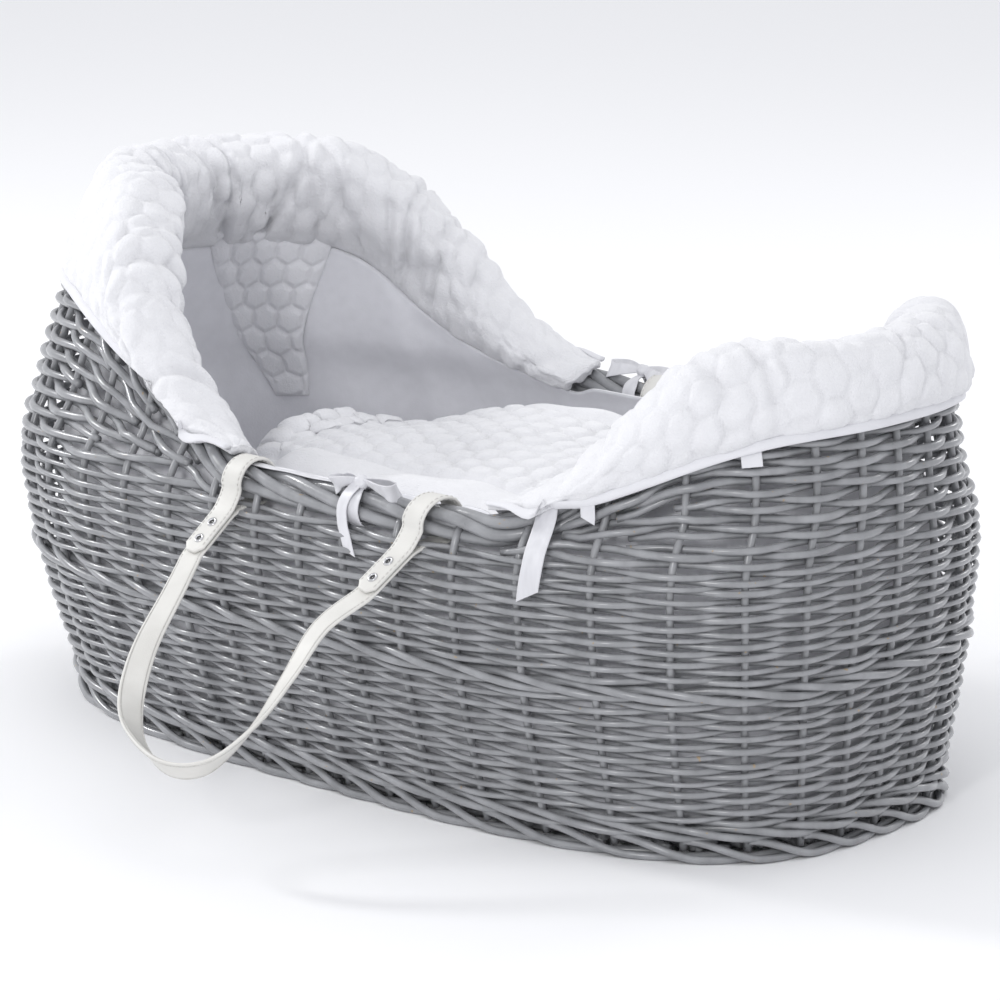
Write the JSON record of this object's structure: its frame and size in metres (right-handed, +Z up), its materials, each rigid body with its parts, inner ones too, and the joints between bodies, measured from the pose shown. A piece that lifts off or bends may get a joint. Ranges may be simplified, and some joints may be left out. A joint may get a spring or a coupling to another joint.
{
  "type": "moses basket",
  "caption": "Pod-shaped wicker moses basket with raised head and foot, padded hood and foot rolls, lining, mattress, quilt and two carrying straps that swing on the rim.",
  "frame": {"origin": "the middle of the floor, on the surface that the basket stands on", "axes": "+X from the head end to the foot end, +Z up, +Y to the side away from the bow that shows, so the near strap is on -Y"},
  "size_m": [0.8285, 0.8123, 0.4279],
  "materials": {
    "wicker": "glossy grey paint on willow rods",
    "mattress_cover": "plain woven cotton",
    "lining": "smooth brushed jersey",
    "dimple_plush": "short pile plush with raised hexagonal dimples",
    "binding": "folded bias tape",
    "satin": "satin ribbon",
    "leatherette": "smooth coated leatherette, stitched along both edges",
    "rivet_steel": "polished"
  },
  "bodies": {
    "root": {"base_sticks": "wicker", "base_weave": "wicker", "foot_border": "wicker", "stakes": "wicker", "lower_weave": "wicker", "middle_wale": "wicker", "upper_weave": "wicker", "head_packing": "wicker", "foot_packing": "wicker", "rim_border": "wicker", "mattress": "mattress_cover", "liner": "lining", "hood_roll": "dimple_plush", "hood_binding": "binding", "foot_roll": "dimple_plush", "foot_binding": "binding", "bow_near": "satin", "bow_far": "satin", "ribbon_tail": "satin", "ribbon_wrap": "satin", "blank_tag": "satin"},
    "quilt": {"quilt": "dimple_plush"},
    "handle_near": {"strap_near": "leatherette", "strap_near_rivets": "rivet_steel"},
    "handle_far": {"strap_far": "leatherette", "strap_far_rivets": "rivet_steel"}
  },
  "joints": [
    {"name": "strap_near_swing", "type": "hinge", "parent": "root", "child": "handle_near", "pos_m": [-0.05688, -0.21159, 0.234], "axis": [-0.9998, -0.0217, 0], "range_deg": [0, 165]},
    {"name": "strap_far_swing", "type": "hinge", "parent": "root", "child": "handle_far", "pos_m": [-0.00919, 0.21171, 0.234], "axis": [0.9987, -0.0516, 0], "range_deg": [0, 165]},
    {"name": "quilt_lift", "type": "slide", "parent": "root", "child": "quilt", "axis": [0, 0, 1], "range_m": [0, 0.3]}
  ]
}
